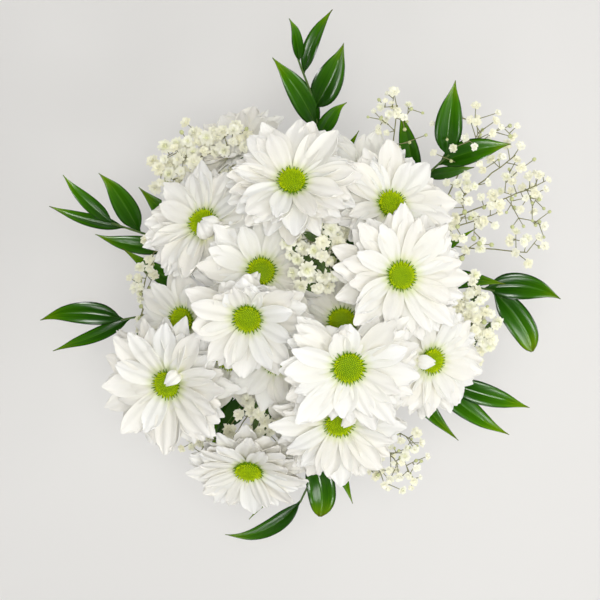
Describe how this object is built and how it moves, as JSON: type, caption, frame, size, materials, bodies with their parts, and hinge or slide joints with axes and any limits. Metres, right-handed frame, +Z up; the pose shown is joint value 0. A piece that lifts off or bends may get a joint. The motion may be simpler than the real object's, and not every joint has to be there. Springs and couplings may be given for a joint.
{
  "type": "bunch of daisies",
  "caption": "Round hand-tied bunch of white daisies with green eyes, glossy pointed leaves and airy sprays of tiny cream flowers, standing on its splayed cut stems.",
  "frame": {"origin": "the middle of the centre stem's cut end, on the plane that the bunch stands on", "axes": "+Z is up, along the centre stem; +X is to the right and +Y to the top of the picture, which looks straight down on the bunch"},
  "size_m": [0.288, 0.2867, 0.3166],
  "materials": {
    "petals": "soft matt white petal",
    "eyes": "matt yellow-green florets",
    "daisy_stems": "fresh green stem, matt",
    "ruscus": "glossy dark green leaf",
    "gypsophila": "matt cream florets, pale green stems",
    "raffia": "dry straw-coloured raffia"
  },
  "bodies": {
    "root": {"daisy_01_petals": "petals", "daisy_01_eye": "eyes", "daisy_02_petals": "petals", "daisy_02_eye": "eyes", "daisy_03_petals": "petals", "daisy_03_eye": "eyes", "daisy_04_petals": "petals", "daisy_04_eye": "eyes", "daisy_05_petals": "petals", "daisy_05_eye": "eyes", "daisy_06_petals": "petals", "daisy_06_eye": "eyes", "daisy_07_petals": "petals", "daisy_07_eye": "eyes", "daisy_08_petals": "petals", "daisy_08_eye": "eyes", "daisy_09_petals": "petals", "daisy_09_eye": "eyes", "daisy_10_petals": "petals", "daisy_10_eye": "eyes", "daisy_11_petals": "petals", "daisy_11_eye": "eyes", "daisy_12_petals": "petals", "daisy_12_eye": "eyes", "daisy_13_petals": "petals", "daisy_13_eye": "eyes", "daisy_14_petals": "petals", "daisy_14_eye": "eyes", "daisy_15_petals": "petals", "daisy_15_eye": "eyes", "daisy_16_petals": "petals", "daisy_16_eye": "eyes", "daisy_17_petals": "petals", "daisy_17_eye": "eyes", "daisy_18_petals": "petals", "daisy_18_eye": "eyes", "daisy_stem_1": "daisy_stems", "daisy_stem_2": "daisy_stems", "daisy_stem_3": "daisy_stems", "daisy_stem_4": "daisy_stems", "daisy_stem_5": "daisy_stems", "daisy_stem_6": "daisy_stems", "ruscus_1": "ruscus", "ruscus_2": "ruscus", "ruscus_3": "ruscus", "ruscus_4": "ruscus", "ruscus_5": "ruscus", "ruscus_6": "ruscus", "ruscus_7": "ruscus", "ruscus_8": "ruscus", "gypsophila_1": "gypsophila", "gypsophila_2": "gypsophila", "gypsophila_3": "gypsophila", "gypsophila_4": "gypsophila", "gypsophila_5": "gypsophila", "gypsophila_6": "gypsophila", "raffia_tie": "raffia"}
  },
  "joints": []
}
